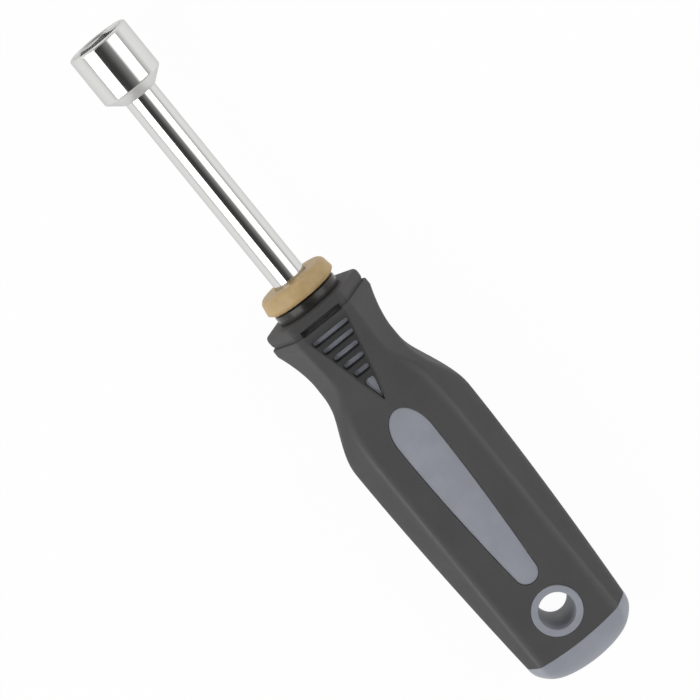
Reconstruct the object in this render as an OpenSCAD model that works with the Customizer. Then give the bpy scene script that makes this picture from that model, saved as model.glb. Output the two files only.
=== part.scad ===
// Nut driver with a colour ring for its size and a two-material handle.
// The tool lies along X with its socket's mouth at the low end and the handle's front face up.
// The origin is under the middle of the tool, at its lowest point.

/* [Socket] */
// Outside diameter of the socket
socket_od = 15.4; // [14.6:0.1:20]
// Width of the hex opening across its flats, with play for a 7/16 in (11.11 mm) nut
hex_af = 11.2; // [8:0.1:11.6]
// Depth of the hex opening
hex_depth = 9; // [6:0.1:20]
// Turn of the hex opening about the shaft, in degrees
hex_turn = 14; // [0:1:59]
// Wall between the hex opening and the end of the shaft
socket_web = 1.2; // [0.8:0.1:4]
// Length of shaft seated in the socket
shaft_seat = 5.2; // [4:0.1:12]
// Length of the cone from the socket down to the shaft
socket_cone_len = 2.7; // [1:0.1:4]
// Bevel round the outside of the mouth
mouth_bevel = 0.7; // [0.2:0.1:1]
// Widening of the hex opening at the mouth
hex_lead_in = 0.9; // [0.4:0.1:1.2]

/* [Shaft] */
// Diameter of the shaft
shaft_d = 8.25; // [6:0.05:9]
// Length from the socket's mouth to the bolster
shank_len = 75.9; // [50:0.1:200]
// Length of shaft held in the handle
shaft_hold = 52; // [40:0.5:60]
// Width across the tang's wings, which stop the shaft from turning
tang_span = 12.5; // [10:0.1:16]
// Thickness of the wings
tang_thick = 3; // [2:0.1:5]
// Length of the wings
tang_len = 8; // [4:0.1:12]
// Plain shaft behind the wings
tang_inset = 4; // [2:0.1:8]

/* [Size ring] */
// Largest diameter, near the back edge
ring_od = 18.3; // [17.5:0.1:24]
// Diameter at the front edge
ring_front_od = 17.4; // [15:0.1:24]
// Length along the shaft
ring_len = 4.55; // [4:0.05:8]
// Bevel of the front edge
ring_front_bevel = 0.7; // [0.2:0.1:0.8]
// Length of the slope behind the largest diameter
ring_back_len = 0.75; // [0.4:0.05:1.2]
// Thickness of the web in front of the spigot
ring_web = 1.3; // [0.8:0.1:1.8]
// Room between the ring's front hole and the shaft, on each side
ring_room = 0.2; // [0.1:0.05:1]
// Room for the ring to turn on its spigot, on each side
turn_clearance = 0.05; // [0.03:0.01:0.1]
// End play of the ring
ring_play = 0.15; // [0.1:0.05:0.3]

/* [Neck collar] */
// Diameter of the neck that shows behind the ring
collar_od = 16.3; // [14.5:0.1:17]
// Length of the neck that shows
neck_len = 2.4; // [0.8:0.1:10]
// Diameter of the spigot that carries the ring
spigot_od = 12; // [11:0.1:13]
// Height of the snap bead that holds the ring on the spigot
bead_height = 0.3; // [0.2:0.05:0.5]
// Length of the snap bead
bead_len = 0.8; // [0.5:0.1:1]
// Distance from the spigot's end to the bead
bead_inset = 0.6; // [0.4:0.1:0.9]
// Diameter of the tail that the core grips
collar_tail_od = 11; // [10:0.1:12.5]
// Length of the tail
collar_tail_len = 10; // [5:0.5:20]

/* [Bolster] */
// Length from the bolster's front edge to the grip
bolster_len = 3.1; // [2.6:0.1:10]
// Half width, side to side
bolster_wide = 12.7; // [11.5:0.1:16]
// Half thickness, front to back
bolster_thick = 12.2; // [11.5:0.1:16]
// Half width of the flat on the front
bolster_flat = 7.3; // [6:0.1:9]
// Length of the rounded shoulder behind the flat front
bolster_shoulder_len = 1.1; // [0.5:0.05:1.5]
// Drop of the shoulder at the flat front
bolster_shoulder_drop = 0.6; // [0.2:0.05:1]
// Width of the groove against the grip
groove_w = 1.05; // [0.4:0.05:1.5]
// Depth of the groove
groove_depth = 0.35; // [0.1:0.05:0.8]
// Depth of the slot in the front and back flats, in line with the groove
flat_slot_depth = 1.6; // [0.6:0.1:2.5]
// Length of that slot
flat_slot_len = 10.9; // [6:0.1:12]

/* [Handle lengths] */
// Flange at the front of the grip
flange_len = 1.9; // [1:0.1:5]
// Hollow from the flange down to the waist
hollow_len = 10.4; // [6:0.1:20]
// Waist
waist_len = 2.9; // [1:0.1:10]
// Rise from the waist to the belly
rise_len = 18.4; // [12:0.1:40]
// Distance in front of the belly where the front flat reaches its full width
facet_lead = 9.1; // [2:0.1:10]
// Length behind the belly over which the handle narrows
taper_len = 58.4; // [50:0.1:90]
// Straight side of the end cap
cap_side_len = 0.75; // [0.5:0.05:6]
// Rounded end of the end cap
cap_dome_len = 7.5; // [4.5:0.1:14]

/* [Handle section] */
// Half width at the flange
flange_wide = 13.15; // [12:0.05:17]
// Half width at the waist
waist_wide = 10.85; // [9.6:0.05:14]
// Half width at the belly
belly_wide = 16.2; // [14:0.05:20]
// Half width at the end cap
tail_wide = 13.7; // [12.5:0.05:18]
// Half thickness at the flange
flange_thick = 12.4; // [11.5:0.05:16]
// Half thickness at the waist
waist_thick = 9.5; // [9:0.05:13]
// Half thickness at the belly
belly_thick = 12.3; // [10.5:0.05:18]
// Half thickness at the end cap
tail_thick = 9.6; // [8.8:0.05:15]
// Half width of the front flat at the flange
flange_flat = 7.5; // [6.5:0.05:9]
// Half width of the front flat at the waist
waist_flat = 7.1; // [6.5:0.05:9]
// Half width of the front flat at the belly
belly_flat = 11.1; // [9:0.05:13]
// Half width of the front flat at the end cap
tail_flat = 10.6; // [8:0.05:12]
// Lean of the side facets, in degrees
facet_lean = 25; // [20:1:32]
// Bevel at the front edge of the flange
flange_bevel = 0.2; // [0.1:0.05:0.6]
// Thickness of the soft grip over the core
grip_wall = 1.8; // [1:0.1:2.4]
// Bow of the joint between grip and end cap
seam_bow = 1.35; // [0.4:0.05:2]
// Diameter of the core's spigot in the end cap
cap_spigot_od = 12; // [8:0.5:14]
// Length of that spigot
cap_spigot_len = 3.5; // [2:0.1:4]

/* [Finger slots] */
// Number of slots on each face
slot_count = 5; // [3:1:5]
// Distance between slots
slot_pitch = 2.75; // [2:0.05:3]
// Width of a slot along the tool
slot_w = 1.5; // [0.8:0.05:1.8]
// Length of the slot next to the flange
slot_len = 10; // [8:0.1:11]
// Each slot is shorter than the last by this much
slot_step = 1.45; // [0.5:0.05:1.6]
// Distance from the flange's edge to the middle of the first slot
slot_inset = 1.25; // [1:0.05:3]
// Length of the pointed pocket behind the slots
pointer_len = 6.1; // [3:0.1:8]
// Width of the pointed pocket
pointer_w = 2.8; // [2:0.1:4]
// Radius of its two front corners
pointer_round = 0.6; // [0.3:0.05:0.8]

/* [Window] */
// Length of the inlaid window
window_len = 50; // [30:0.1:54]
// Widest part of the window
window_w = 9.5; // [6:0.1:14]
// Width where the round end starts
window_end_w = 5.9; // [4:0.1:8]
// Length of the rounded front end
window_nose_len = 7.5; // [4:0.1:12]
// Distance from the window's front to the belly
window_lead = 7.85; // [2:0.05:9]
// Distance from the window to the bush round the hang hole
window_gap = 2.5; // [1:0.1:10]

/* [Hang hole] */
// Outside diameter of the bush
bush_od = 12; // [10.5:0.1:13]
// Diameter of the hole
hang_d = 7.4; // [5:0.1:7.8]
// Diameter at the front, where the hole is widest
hang_mouth_d = 8.6; // [8:0.1:9.5]
// Length of the hole that is straight
hang_land = 9; // [5:0.1:12]
// Distance from the middle of the hole to the end cap
hang_inset = 7.45; // [7:0.05:12]

/* [Hidden] */

// How far a cut runs past the face that it leaves
overrun = 1;
// How crisply the facets of the section meet
blend_power = 60;
// Powers of the hollow, of the taper, of the end cap's rounding and of the window's sides
hollow_power = 1.7;
taper_power = 1.7;
dome_power = 2.05;
window_power = 1.8;
// Places round a quarter of the section: from the side to the ridge, then from the ridge to the front
side_shares = [0, 0.3, 0.62, 0.84, 0.95];
face_shares = [0, 0.06, 0.18, 0.5];
// Sections drawn along each stretch of the handle
hollow_steps = 5;
rise_steps = 7;
taper_steps = 5;
dome_steps = 6;
shoulder_steps = 3;
window_steps = 8;

// Sides of a hexagon and the angle of half of one
hex_sides = 6;
hex_half_angle = 30;
right_angle = 90;
half_turn = 180;
round_fn = 96;

// Places along the tool, from the socket's mouth
shaft_u = hex_depth + socket_web;
socket_end = shaft_u + shaft_seat;
ring_u = shank_len - neck_len - ring_play - ring_len;
spigot_u = ring_u + ring_web + ring_play;
bead_u = spigot_u + bead_inset;
neck_u = ring_u + ring_len + ring_play;
grip_u = shank_len + bolster_len;
groove_u = grip_u - groove_w;
flange_u = grip_u + flange_len;
waist_u = flange_u + hollow_len;
rise_u = waist_u + waist_len;
belly_u = rise_u + rise_len;
facet_u = belly_u - facet_lead;
taper_end = belly_u + taper_len;
window_u = belly_u - window_lead;
hang_u = window_u + window_len + window_gap + bush_od / 2;
seam_u = hang_u + hang_inset;
seam_end = seam_u + seam_bow;
dome_u = seam_u + cap_side_len;
total_len = dome_u + cap_dome_len;
shaft_end = shank_len + shaft_hold;
tang_u = shaft_end - tang_inset - tang_len;
slot_u = flange_u + slot_inset;
pointer_u = slot_u + slot_count * slot_pitch - pointer_round;

shaft_r = shaft_d / 2;
spigot_r = spigot_od / 2;
bead_r = spigot_r + bead_height;
neck_r = collar_od / 2;
bush_r = bush_od / 2;
hex_corner_r = hex_af / 2 / cos(hex_half_angle);
// The joint between grip and end cap is part of an upright cylinder
seam_wide = half_wide(seam_u);
seam_r = (seam_wide * seam_wide + seam_bow * seam_bow) / (2 * seam_bow);
// Lowest point of the tool below its axis
rest_height = max(flange_thick, belly_thick, bolster_thick);
// Tall enough for a cut through the whole handle
cut_height = 2 * max(rest_height, belly_wide) + overrun;

function mix(from, to, part) = from + (to - from) * part;
function part_way(u, from, to) = (u - from) / (to - from);
function ease(part) = (1 - cos(half_turn * part)) / 2;

// One of the handle's sizes at a place along it, from its values at the flange, waist, belly and end cap
function swell(u, flange, waist, belly, tail) =
    u <= flange_u ? flange
    : u <= waist_u ? mix(waist, flange, pow(1 - part_way(u, flange_u, waist_u), hollow_power))
    : u <= rise_u ? waist
    : u <= belly_u ? mix(waist, belly, ease(part_way(u, rise_u, belly_u)))
    : u <= taper_end ? mix(belly, tail, pow(part_way(u, belly_u, taper_end), taper_power))
    : tail;

function half_wide(u) = swell(u, flange_wide, waist_wide, belly_wide, tail_wide);
function half_thick(u) = swell(u, flange_thick, waist_thick, belly_thick, tail_thick);
// The flat widens sooner than the handle does
function half_flat(u) =
    u <= waist_u || u >= belly_u ? swell(u, flange_flat, waist_flat, belly_flat, tail_flat)
    : u <= facet_u ? mix(waist_flat, belly_flat, ease(part_way(u, waist_u, facet_u)))
    : belly_flat;

// Distance from the axis to the section's outline: the facets' planes, blended where they meet
function facet_radius(angle, wide, thick, flat, power) =
    let (side = flat * cos(facet_lean) + thick * sin(facet_lean))
    pow(
        pow(abs(cos(angle)) / wide, power)
        + pow(abs(sin(angle)) / thick, power)
        + pow(abs(cos(angle - facet_lean)) / side, power)
        + pow(abs(cos(angle + facet_lean)) / side, power),
        -1 / power
    );

// Angles of the points round a section whose ridge lies at a given angle
function quarter_angles(ridge) = concat(
    [for (share = side_shares) ridge * share],
    [for (share = face_shares) mix(ridge, right_angle, share)],
    [right_angle]
);
function ring_angles(ridge) =
    let (quarter = quarter_angles(ridge), last = len(quarter) - 1)
    [
        for (turn = [0:3], i = [0:last - 1])
            turn % 2 == 0
                ? right_angle * turn + quarter[i]
                : right_angle * (turn + 1) - quarter[last - i]
    ];

// One section of the handle, with every facet drawn in by an inset
function section(u, wide, thick, flat, inset = 0, power = blend_power) =
    let (
        w = wide - inset,
        t = thick - inset,
        f = flat - inset * (1 - sin(facet_lean)) / cos(facet_lean),
        side_fit = w / facet_radius(0, w, t, f, power),
        face_fit = t / facet_radius(right_angle, w, t, f, power)
    )
    [
        for (angle = ring_angles(atan2(t, f)))
            let (r = facet_radius(angle, w, t, f, power))
            [u, r * cos(angle) * side_fit, r * sin(angle) * face_fit]
    ];

function handle_section(u, inset = 0) = section(u, half_wide(u), half_thick(u), half_flat(u), inset);

function steps(from, to, count) = [for (i = [1:count]) mix(from, to, i / count)];
function handle_places(end) = concat(
    [flange_u],
    steps(flange_u, waist_u, hollow_steps),
    steps(waist_u, rise_u, 1),
    steps(rise_u, belly_u, rise_steps),
    steps(belly_u, end, taper_steps)
);

// A section scaled towards the axis, for the end cap's rounding, with facets that fade out
function domed_section(part) =
    let (
        size = pow(1 - pow(part, dome_power), 1 / dome_power),
        u = dome_u + cap_dome_len * part,
        power = blend_power * pow(dome_power / blend_power, part)
    )
    section(u, half_wide(dome_u) * size, half_thick(dome_u) * size, half_flat(dome_u) * size, power = power);

// Closed solid through a row of sections, with its last point at a given place on the axis
module loft(rings, tip) {
    count = len(rings[0]);
    last = len(rings) - 1;
    points = concat(
        [[rings[0][0].x, 0, 0]],
        [for (ring = rings, point = ring) point],
        [[tip, 0, 0]]
    );
    end = len(points) - 1;
    faces = concat(
        [for (j = [0:count - 1]) [0, 1 + j, 1 + (j + 1) % count]],
        [
            for (i = [0:last - 1], j = [0:count - 1])
                let (
                    a = 1 + i * count + j,
                    b = 1 + i * count + (j + 1) % count
                )
                each [[a, b + count, b], [a, a + count, b + count]]
        ],
        [for (j = [0:count - 1]) [end, 1 + last * count + (j + 1) % count, 1 + last * count + j]]
    );
    polyhedron(points, faces);
}

// Turns a shape drawn up Z so that it runs along the tool
module along(u) translate([u, 0, 0]) rotate([0, right_angle, 0]) children();

// A round bar along the tool
module bar(from, to, r) along(from) cylinder(r = r, h = to - from, $fn = round_fn);

// Sets the tool's axis at its height over the origin
module placed() translate([-total_len / 2, 0, rest_height]) children();

// Repeats a feature of the front face on the back face
module both_faces() {
    children();
    mirror([0, 0, 1]) children();
}

// Everything that the grip and the end cap fill between them
module outer_body() {
    rings = concat(
        [handle_section(grip_u, flange_bevel)],
        [for (u = handle_places(dome_u)) handle_section(u)],
        [for (i = [1:dome_steps]) domed_section(sin(right_angle * i / (dome_steps + 1)))]
    );
    loft(rings, total_len);
}

// The core without its bores, run past the end joint, and forward by an extra length where it is used as a cut
module core_blank(extra = 0) {
    end = seam_end + overrun;
    rings = concat(
        [section(grip_u - extra, flange_wide, flange_thick, flange_flat, grip_wall)],
        [for (u = handle_places(end)) handle_section(u, grip_wall)]
    );
    loft(rings, end);
}

// Everything in front of the joint with the end cap
module before_seam() {
    translate([seam_end - seam_r, 0, 0])
        cylinder(r = seam_r, h = cut_height, center = true, $fn = round_fn);
}

module hang_cut(r) {
    translate([hang_u, 0, 0]) cylinder(r = r, h = cut_height, center = true, $fn = round_fn);
}

// Steel socket with a hex opening, seated on the shaft
module socket() color("silver") placed() difference() {
    along(0) rotate_extrude($fn = round_fn) polygon([
        [0, 0],
        [socket_od / 2 - mouth_bevel, 0],
        [socket_od / 2, mouth_bevel],
        [socket_od / 2, socket_end - socket_cone_len],
        [shaft_r + mouth_bevel / 2, socket_end],
        [0, socket_end]
    ]);
    rotate([hex_turn, 0, 0])
        along(-overrun) cylinder(r = hex_corner_r, h = hex_depth + overrun, $fn = hex_sides);
    along(0) rotate_extrude($fn = round_fn) polygon([
        [0, -overrun],
        [hex_af / 2 + hex_lead_in, -overrun],
        [hex_af / 2 + hex_lead_in, 0],
        [hex_af / 2, hex_lead_in],
        [0, hex_lead_in]
    ]);
    bar(shaft_u, socket_end + overrun, shaft_r);
}

module tang() {
    translate([tang_u, -tang_span / 2, -tang_thick / 2]) cube([tang_len, tang_span, tang_thick]);
}

// Steel shaft with a winged tang moulded into the handle
module shaft() color("gainsboro") placed() {
    bar(shaft_u, shaft_end, shaft_r);
    tang();
}

// Colour ring that shows the size, snapped over the collar's spigot
module size_ring() color("#b49b70") placed() along(ring_u) rotate_extrude($fn = round_fn) {
    hole_r = shaft_r + ring_room;
    seat_r = spigot_r + turn_clearance;
    groove_r = bead_r + turn_clearance;
    bead_at = bead_u - ring_u;
    polygon([
        [hole_r, 0],
        [ring_front_od / 2 - ring_front_bevel, 0],
        [ring_front_od / 2, ring_front_bevel],
        [ring_od / 2, ring_len - ring_back_len],
        [neck_r, ring_len],
        [seat_r, ring_len],
        [seat_r, bead_at + bead_len + ring_play],
        [groove_r, bead_at + bead_len + ring_play],
        [groove_r, bead_at - ring_play],
        [seat_r, bead_at - ring_play],
        [seat_r, ring_web],
        [hole_r, ring_web]
    ]);
}

// Glossy collar on the shaft: the ring's spigot, the neck and a tail in the core
module neck_collar() color("#1c1c1d") placed() along(0) rotate_extrude($fn = round_fn) {
    tail_end = grip_u + collar_tail_len;
    polygon([
        [shaft_r, spigot_u],
        [spigot_r, spigot_u],
        [spigot_r, bead_u],
        [bead_r, bead_u],
        [bead_r, bead_u + bead_len],
        [spigot_r, bead_u + bead_len],
        [spigot_r, neck_u],
        [neck_r, neck_u],
        [neck_r, grip_u],
        [collar_tail_od / 2, grip_u],
        [collar_tail_od / 2, tail_end],
        [shaft_r, tail_end]
    ]);
}

function bolster_section(u, inset) = section(u, bolster_wide, bolster_thick, bolster_flat, inset);

// Faceted bolster between the neck and the grip, with a flat front and a rounded shoulder
module front_bolster() color("#474648") placed() difference() {
    shoulder = [
        for (i = [0:shoulder_steps])
            let (a = right_angle * i / shoulder_steps)
            bolster_section(
                shank_len + bolster_shoulder_len * (1 - cos(a)),
                bolster_shoulder_drop * (1 - sin(a))
            )
    ];
    groove = [
        bolster_section(groove_u, 0),
        bolster_section(groove_u, groove_depth),
        bolster_section(grip_u, groove_depth)
    ];
    loft(concat(shoulder, groove), grip_u);
    bar(shank_len - overrun, grip_u + overrun, neck_r);
    both_faces()
        translate([groove_u, -flat_slot_len / 2, bolster_thick - flat_slot_depth])
            cube([groove_w + overrun, flat_slot_len, flat_slot_depth + overrun]);
}

// Hard core moulded round the shaft's tang and the collar's tail
module handle_core() color("#8d9299") placed() difference() {
    union() {
        intersection() {
            core_blank();
            before_seam();
        }
        bar(seam_u, seam_u + cap_spigot_len, cap_spigot_od / 2);
    }
    bar(grip_u - overrun, shaft_end, shaft_r);
    bar(grip_u - overrun, grip_u + collar_tail_len, collar_tail_od / 2);
    tang();
    hang_cut(bush_r);
}

// A slot with round ends, across the tool
module slot_shape(len) {
    reach = len / 2 - slot_w / 2;
    square([slot_w, 2 * reach], center = true);
    for (side = [-1, 1]) translate([0, side * reach]) circle(d = slot_w, $fn = round_fn);
}

// A pocket that narrows to a point, with rounded front corners
module pointer_shape() {
    reach = pointer_w / 2 - pointer_round;
    polygon([
        [pointer_round, -pointer_w / 2],
        [pointer_len, 0],
        [pointer_round, pointer_w / 2],
        [0, reach],
        [0, -reach]
    ]);
    for (side = [-1, 1]) translate([pointer_round, side * reach]) circle(r = pointer_round, $fn = round_fn);
}

module finger_slots() linear_extrude(cut_height) {
    for (i = [0:slot_count - 1])
        translate([slot_u + i * slot_pitch, 0]) slot_shape(slot_len - i * slot_step);
    translate([pointer_u, 0]) pointer_shape();
}

// Half the window's outline: a long round nose, a side that bows inwards and a round end
function window_side() =
    let (
        nose = window_nose_len,
        wide = window_w / 2,
        round = window_end_w / 2,
        run = window_len - nose - round
    )
    concat(
        [
            for (i = [0:window_steps - 1])
                let (a = right_angle * i / window_steps)
                [nose * (1 - cos(a)), wide * sin(a)]
        ],
        [
            for (i = [0:window_steps])
                [nose + run * i / window_steps, mix(wide, round, pow(i / window_steps, window_power))]
        ],
        [
            for (i = [1:window_steps])
                let (a = right_angle * i / window_steps)
                [nose + run + round * sin(a), round * cos(a)]
        ]
    );

module window_cut() {
    side = window_side();
    far_side = [for (i = [len(side) - 2:-1:1]) [side[i].x, -side[i].y]];
    translate([window_u, 0, 0]) linear_extrude(cut_height) polygon(concat(side, far_side));
}

// Soft grip over the core, open at the slots, the windows and the hang hole
module grip() color("#4b4a4c") placed() difference() {
    intersection() {
        outer_body();
        before_seam();
    }
    core_blank(overrun);
    both_faces() {
        finger_slots();
        window_cut();
    }
    hang_cut(bush_r);
}

// Hard inlay that fills the window, flush with the grip
module window_inlay() difference() {
    intersection() {
        outer_body();
        window_cut();
    }
    core_blank();
}

module front_window() color("#8d9299") placed() window_inlay();

module rear_window() color("#8d9299") placed() mirror([0, 0, 1]) window_inlay();

// Hard bush round the hang hole, with its ends flush with the sloping faces
module hang_bush() color("#8d9299") placed() difference() {
    height = half_thick(hang_u);
    slope = atan((half_thick(hang_u - bush_r) - half_thick(hang_u + bush_r)) / bush_od);
    hang_cut(bush_r);
    hang_cut(hang_d / 2);
    translate([hang_u, 0, hang_land - height])
        cylinder(
            d1 = hang_d,
            d2 = hang_mouth_d,
            h = 2 * height - hang_land,
            $fn = round_fn
        );
    both_faces()
        translate([hang_u, 0, height]) rotate([0, slope, 0])
            translate([-bush_od, -bush_od, 0]) cube([2 * bush_od, 2 * bush_od, cut_height]);
}

// Hard cap that closes the handle, on the core's spigot
module end_cap() color("#8d9299") placed() difference() {
    outer_body();
    before_seam();
    bar(seam_u, seam_u + cap_spigot_len, cap_spigot_od / 2);
}

socket();
shaft();
size_ring();
neck_collar();
front_bolster();
handle_core();
grip();
front_window();
rear_window();
hang_bush();
end_cap();
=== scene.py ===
"""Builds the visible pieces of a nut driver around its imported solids, with finishes and a plain studio."""

import math
from functools import partial

import bmesh
import bpy
from bpy.props import FloatProperty, FloatVectorProperty, PointerProperty
from mathutils import Matrix, Vector


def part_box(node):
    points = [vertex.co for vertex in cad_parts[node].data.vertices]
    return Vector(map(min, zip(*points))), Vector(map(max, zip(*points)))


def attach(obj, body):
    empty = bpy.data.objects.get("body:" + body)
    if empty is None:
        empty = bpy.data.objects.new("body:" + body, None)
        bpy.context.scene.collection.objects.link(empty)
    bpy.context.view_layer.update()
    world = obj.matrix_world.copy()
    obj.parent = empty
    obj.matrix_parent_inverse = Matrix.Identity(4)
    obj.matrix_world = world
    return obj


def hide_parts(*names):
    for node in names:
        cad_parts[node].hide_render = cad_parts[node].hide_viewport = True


bl_info = {
    "name": "Nut Driver",
    "version": (1, 0, 0),
    "blender": (4, 5, 0),
    "location": "View3D > Sidebar > Nut Driver",
    "description": "Builds the visible pieces of a nut driver, their finishes and a plain studio",
    "category": "Add Mesh",
}

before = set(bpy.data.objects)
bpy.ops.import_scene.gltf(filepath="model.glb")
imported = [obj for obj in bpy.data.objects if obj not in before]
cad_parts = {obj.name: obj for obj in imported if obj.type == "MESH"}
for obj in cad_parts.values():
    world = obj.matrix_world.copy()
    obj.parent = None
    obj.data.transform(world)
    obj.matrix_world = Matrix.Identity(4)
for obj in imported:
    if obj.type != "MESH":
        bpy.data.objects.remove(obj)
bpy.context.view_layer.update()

MM = 0.001
RIGHT_ANGLE = math.pi / 2
FULL_TURN = 2 * math.pi
HEX_SIDES = 6
SLOT_COUNT = 5
# The front face and the back face
SIDES = (1, -1)
# Mesh resolution
ROUND_STEPS = 144
CORNER_STEPS = 4
ARC_STEPS = 12
SHOULDER_STEPS = 8
SIDE_STEPS = 16
FACE_STEPS = 26
DOME_STEPS = 24
WINDOW_STEPS = 20
CROWN_STEPS = 8
FLOOR_STEPS = 8
# Rings along each stretch of the grip's outside
FLANGE_RINGS = 3
BEND_RINGS = 4
HOLLOW_RINGS = 30
WAIST_RINGS = 8
RISE_RINGS = 40
TAPER_RINGS = 30
SEAM_RINGS = 10
# Rings along the grip's inside, at the end joint and in front of it
INNER_SEAM_RINGS = 4
INNER_RINGS = 36
# Halvings in the search for the height of a face
HEIGHT_STEPS = 30
WELD = 1e-7
SHARP_ANGLE = math.radians(38)
# How crisply the handle's facets meet, and the powers of its curves
BLEND_POWER = 60
HOLLOW_POWER = 1.7
TAPER_POWER = 1.7
DOME_POWER = 2.05
WINDOW_POWER = 1.8
# Share of the end cap's length over which the bow of its front edge fades
BOW_SHARE = 0.7
# Width of the flat at the bottom of the hex opening, as a share of the opening's width
HEX_FLOOR_SHARE = 0.6
# Rounding of the size ring's thin edges, as a share of its bevel
RING_ROUND_SHARE = 0.125
# Half width of the slots' panel at its tip, as a share of the pocket's width
PANEL_TIP_SHARE = 0.25
# Angles round a rounded lip, in degrees
LIP_ANGLES = (75, 55, 35, 15, 0)
# How far a cutter flares out over a lip, and how high over the face, as shares of the lip's radius
LIP_FLARE_SHARE = 1.15
LIP_BRIM_SHARE = 0.08
# Softness of the crease beside the slots' panel and reach of the polish and painted sheen from a ridge
PANEL_SOFT = 0.3 * MM
WEAR_SHEEN_REACH = 0.5 * MM
# Strength of the panel's painted shade at the front edge of the grip
PANEL_ONSET = 0.35
# Painted shade in the grip's colour on the slots' panel and on its sides, and painted sheen on its worn
# ridges
PANEL_PAINTED_SHADE = 0.5
SIDE_PAINTED_SHADE = 0.76
RIDGE_PAINTED_SHEEN = 1.5
# Painted light on the ring's back slope, which also stands for a worn edge, and painted shade on the neck at
# its root
RING_BACK_PAINTED_LIGHT = 1.5
NECK_ROOT_PAINTED_SHADE = 0.3
# How the noise of the turning marks is drawn out round the tool
TURNING_SQUEEZE = (1, 0.04, 0.04)
# Tint of the chrome where it is seen at a flat angle
CHROME_RIM = (0.76, 0.76, 0.76, 1)
# The colour sockets of a Mix node
MIX_FIRST = 6
MIX_SECOND = 7
MIX_RESULT = 2
# Start of the finishes' names, which keeps them apart from the materials of the solids
FINISH = "nut_driver_"
# Share of the floor's own white where it is seen: the rest takes the shadow
FLOOR_WHITE = 0.97
# Half width of the floor, in metres
FLOOR_SIZE = 6
# Angles from overhead over which each light box comes in and goes out again, in degrees
RIGHT_NEAR = (22, 40)
RIGHT_FAR = (66, 69)
LEFT_NEAR = (25, 29)
LEFT_FAR = (67.5, 70.5)
# How far along the tool's own direction each box fades out
RIGHT_REACH = (0.25, 0.4)
LEFT_REACH = (0.35, 0.5)
# Angles over which the dim strip overhead gives way to the surround on each side, in degrees
RIGHT_FADE = (57, 94)
LEFT_FADE = (50, 86)
# Angles over which the dim strip brightens, in degrees, and by how much
GLOW_SPAN = (-9, 33)
GLOW = 5
# How far along the tool's own direction the strip fades into the surround
END_FADE = (0.72, 0.86)
# Camera: its lean towards the socket, roll and turn in degrees, distance in metres and lens in millimetres
CAMERA_LEAN = 9
CAMERA_ROLL = 2.6
CAMERA_TURN = 50.91
CAMERA_DISTANCE = 2.4
LENS = 554.5
SENSOR = 36
# How far the camera sees, in metres
CLIP_END = 100
# Point that the camera looks at, in millimetres
AIM_X = 0.23
AIM_Y = 0.34


def length(label, about, millimetres):
    """A length that the user can change."""
    return FloatProperty(
        name=label, description=about, default=millimetres * MM, min=0, unit="LENGTH", precision=5
    )


def tilt(label, about, degrees):
    """An angle that the user can change."""
    return FloatProperty(name=label, description=about, default=math.radians(degrees), subtype="ANGLE")


def level(label, about, value):
    """A plain number that the user can change."""
    return FloatProperty(name=label, description=about, default=value, min=0)


def tint(label, about, red, green, blue):
    """A colour that the user can change."""
    return FloatVectorProperty(
        name=label, description=about, default=(red, green, blue, 1), size=4, min=0, max=1, subtype="COLOR"
    )


class SteelSizes(bpy.types.PropertyGroup):
    """Sizes of the socket, the size ring and the neck that their boxes don't give."""

    hex_flat: length("Hex", "Width of the hex opening across its flats", 11.2)
    hex_depth: length("Hex depth", "Depth of the hex opening", 9)
    hex_dip: length("Hex dip", "How far the floor of the hex opening dips at its middle", 0.55)
    hex_turn: tilt("Hex turn", "Turn of the hex opening about the shaft", 14)
    mouth: length("Mouth", "Diameter of the round mouth of the hex opening", 13.4)
    throat: length("Throat", "Diameter where the round mouth ends", 13)
    lip_depth: length("Lip depth", "Depth of the round mouth", 0.55)
    lead_len: length("Lead-in", "Length of the slope from the throat to the hex's flats", 0.3)
    cone_len: length("Cone", "Length of the cone from the socket down to the shaft", 2.7)
    cone_edge: length("Cone edge", "Height of the cone's back edge over the shaft", 0.25)
    shaft_seat: length("Seat", "Length of shaft seated in the socket", 5.2)
    mouth_round: length("Mouth rounding", "Rounding of the socket's outer edge", 0.75)
    ring_front: length("Ring front", "Diameter at the front edge of the size ring", 17.4)
    ring_bevel: length("Ring bevel", "Bevel at the front of the size ring", 0.75)
    ring_back: length("Ring back", "Length of the slope at the back of the size ring", 0.75)
    ring_web: length("Ring web", "Thickness of the ring's web in front of the spigot", 1.3)
    ring_room: length("Ring room", "Room between the ring's front hole and the shaft", 0.1)
    ring_relief: length("Ring relief", "Room between the ring's back edge and the back of its solid", 0.25)
    spigot: length("Spigot", "Diameter of the spigot that carries the ring", 12)
    play: length("Play", "Room for the ring to turn on its spigot", 0.05)
    end_play: length("End play", "Room between the ring and the neck behind it", 0.15)
    neck: length("Neck", "Diameter of the neck behind the ring", 16.3)
    neck_edge: length("Neck edge", "Rounding of the neck's front edge", 0.2)
    # The neck's root band is painted darker as the shade in front of the bolster, and made rougher
    neck_root: length("Neck root", "Length of the dull band on the neck in front of the bolster", 1)
    tail: length("Tail", "Diameter of the collar's tail in the core", 11)


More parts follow.
